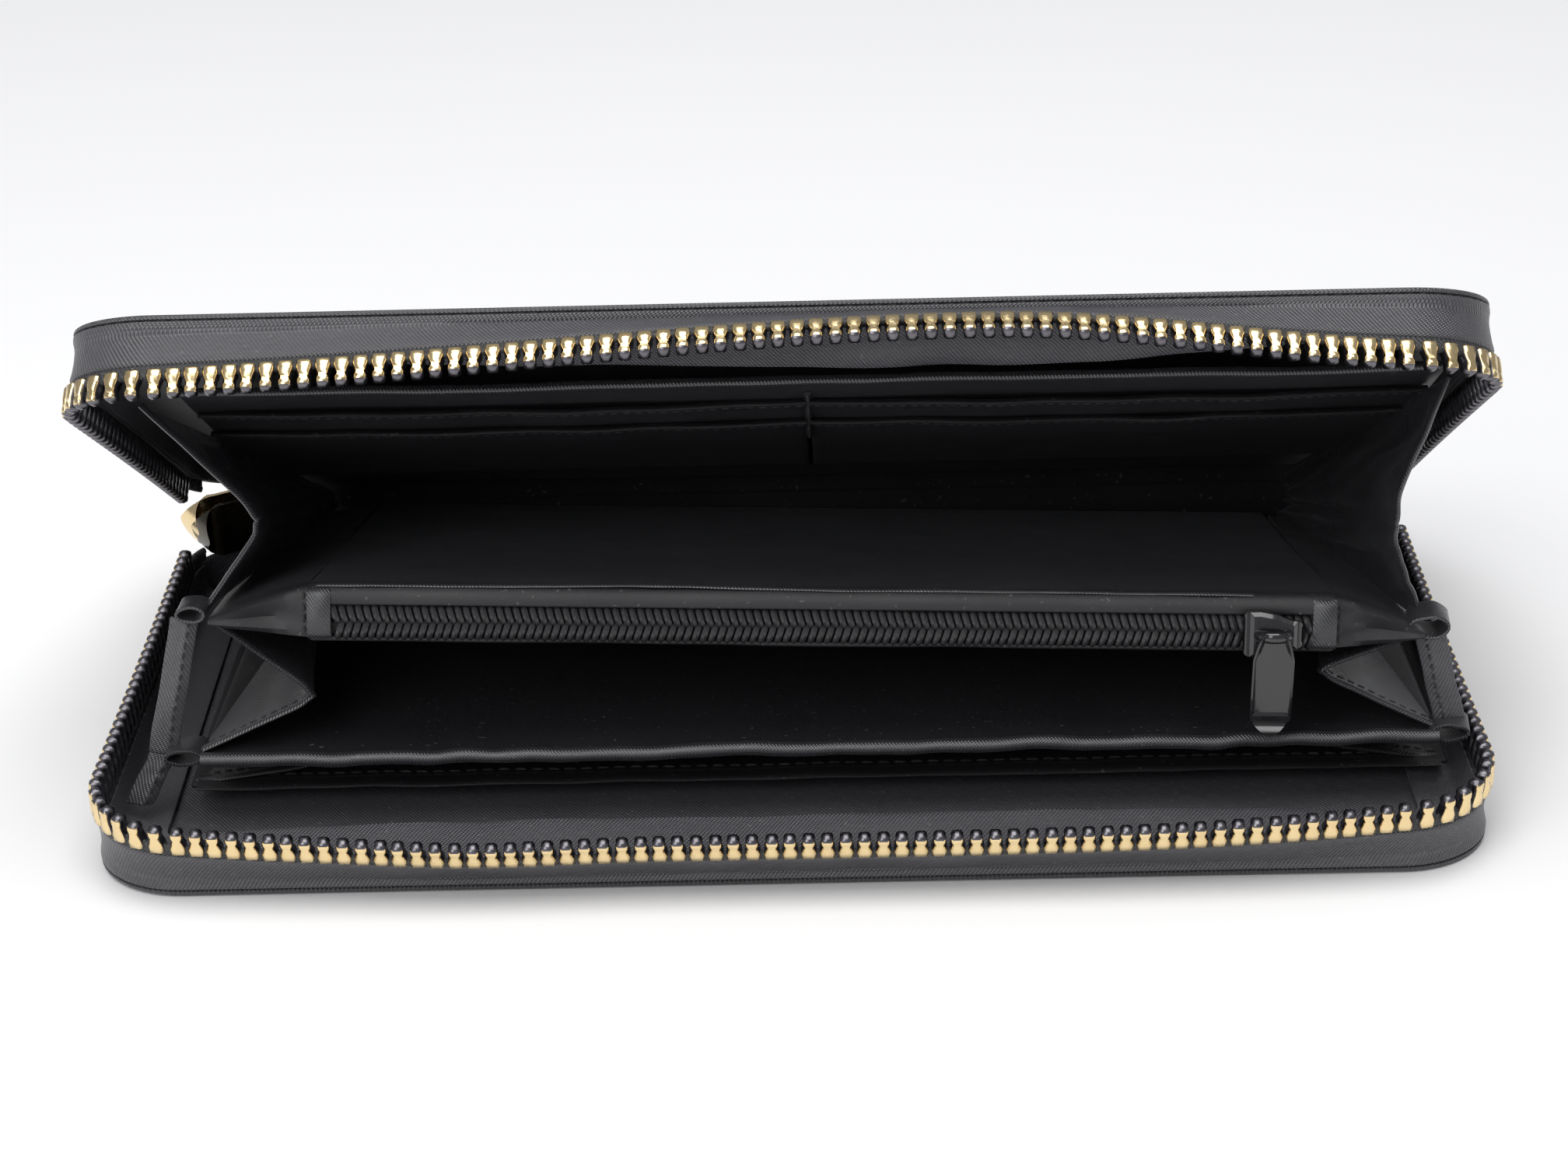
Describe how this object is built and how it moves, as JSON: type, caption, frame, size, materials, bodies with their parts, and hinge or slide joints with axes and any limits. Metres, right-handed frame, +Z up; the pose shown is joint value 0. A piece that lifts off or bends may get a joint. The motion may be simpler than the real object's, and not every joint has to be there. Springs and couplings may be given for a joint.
{
  "type": "zip around wallet",
  "caption": "Long dark grey fabric zip around wallet, unzipped and standing open on one cover, with gusseted compartments and a zipped coin pocket between the covers.",
  "frame": {"origin": "middle of the lower cover's underside, which is the face the wallet rests on", "axes": "+X along the wallet to the right as seen from its mouth, +Y from the mouth to the spine, +Z up"},
  "size_m": [0.1956, 0.1175, 0.0778],
  "materials": {
    "outer_fabric": "fine twill weave with a satin sheen",
    "lining_fabric": "smooth thin lining cloth with a low sheen",
    "zip_tape": "woven black tape, matte",
    "gold_metal": "pale gold plate, polished",
    "nylon_coil": "black nylon, low sheen",
    "black_metal": "gloss black enamel",
    "stiffener": "grey board, matte"
  },
  "bodies": {
    "lower_cover": {"lower_shell": "outer_fabric", "lower_board": "stiffener", "lower_lining": "lining_fabric", "lower_zip_band": "outer_fabric", "lower_zip_tape": "zip_tape", "lower_zip_teeth": "gold_metal", "slip_pocket": "lining_fabric", "spine_foot": "outer_fabric", "zip_end_stop": "gold_metal", "gusset_bottom_left": "lining_fabric", "gusset_bottom_right": "lining_fabric"},
    "divider_leaf": {"divider": "lining_fabric", "divider_hem": "lining_fabric", "spine_rib_divider": "outer_fabric", "gusset_lower_left": "lining_fabric", "gusset_lower_right": "lining_fabric"},
    "coin_leaf": {"coin_upper_wall": "lining_fabric", "coin_lower_wall": "lining_fabric", "coin_tape_upper": "zip_tape", "coin_tape_lower": "zip_tape", "coin_coil_upper": "nylon_coil", "coin_coil_lower": "nylon_coil", "coin_end_left": "lining_fabric", "coin_end_right": "lining_fabric", "coin_stop_left": "lining_fabric", "coin_stop_right": "lining_fabric", "spine_rib_coin": "outer_fabric", "gusset_upper_left": "lining_fabric", "gusset_upper_right": "lining_fabric"},
    "coin_slider": {"coin_slider_body": "black_metal"},
    "coin_pull_tab": {"coin_pull": "black_metal"},
    "card_leaf": {"card_panel": "lining_fabric", "card_slots_left": "lining_fabric", "card_slots_right": "lining_fabric", "card_seam": "lining_fabric", "spine_rib_card": "outer_fabric"},
    "upper_cover": {"upper_shell": "outer_fabric", "upper_board": "stiffener", "upper_lining": "lining_fabric", "upper_zip_band": "outer_fabric", "upper_zip_tape": "zip_tape", "upper_zip_teeth": "gold_metal"},
    "main_slider": {"zip_slider_body": "gold_metal"},
    "main_pull": {"zip_pull": "gold_metal"}
  },
  "joints": [
    {"name": "divider_fold", "type": "hinge", "parent": "lower_cover", "child": "divider_leaf", "pos_m": [0, 0.0492, 0.005], "axis": [-1, 0, 0], "range_deg": [-3.52, 1.52], "deforming": ["gusset_bottom_left", "gusset_bottom_right"]},
    {"name": "coin_pocket_fold", "type": "hinge", "parent": "divider_leaf", "child": "coin_leaf", "pos_m": [0, 0.04976, 0.01097], "axis": [-1, 0, 0], "range_deg": [-4.53, 1.95], "deforming": ["gusset_lower_left", "gusset_lower_right"]},
    {"name": "card_panel_fold", "type": "hinge", "parent": "coin_leaf", "child": "card_leaf", "pos_m": [0, 0.05119, 0.0168], "axis": [-1, 0, 0], "range_deg": [-15, 6.4], "deforming": ["gusset_upper_left", "gusset_upper_right"]},
    {"name": "upper_cover_fold", "type": "hinge", "parent": "card_leaf", "child": "upper_cover", "pos_m": [0, 0.05417, 0.02154], "axis": [-1, 0, 0], "range_deg": [-1.92, 0.84]},
    {"name": "coin_zip_travel", "type": "slide", "parent": "coin_leaf", "child": "coin_slider", "axis": [-0.9995, 0.0076, 0.0314], "range_m": [0, 0.1235]},
    {"name": "coin_pull_swing", "type": "hinge", "parent": "coin_slider", "child": "coin_pull_tab", "pos_m": [0.06597, -0.03896, 0.03041], "axis": [-0.9995, 0.0076, 0.0314], "range_deg": [0, 95]},
    {"name": "main_slider_round_corner", "type": "hinge", "parent": "lower_cover", "child": "main_slider", "pos_m": [-0.084, 0.038, 0.01245], "axis": [0, 0, 1], "range_deg": [0, 25]},
    {"name": "main_pull_swing", "type": "hinge", "parent": "main_slider", "child": "main_pull", "pos_m": [-0.0919, 0.05064, 0.01245], "axis": [0, 0, -1], "range_deg": [-120, 0]}
  ],
  "couplings": [
    {"joint": "divider_fold", "follows": "card_panel_fold", "ratio": 0.233},
    {"joint": "coin_pocket_fold", "follows": "card_panel_fold", "ratio": 0.3},
    {"joint": "upper_cover_fold", "follows": "card_panel_fold", "ratio": 0.127}
  ]
}
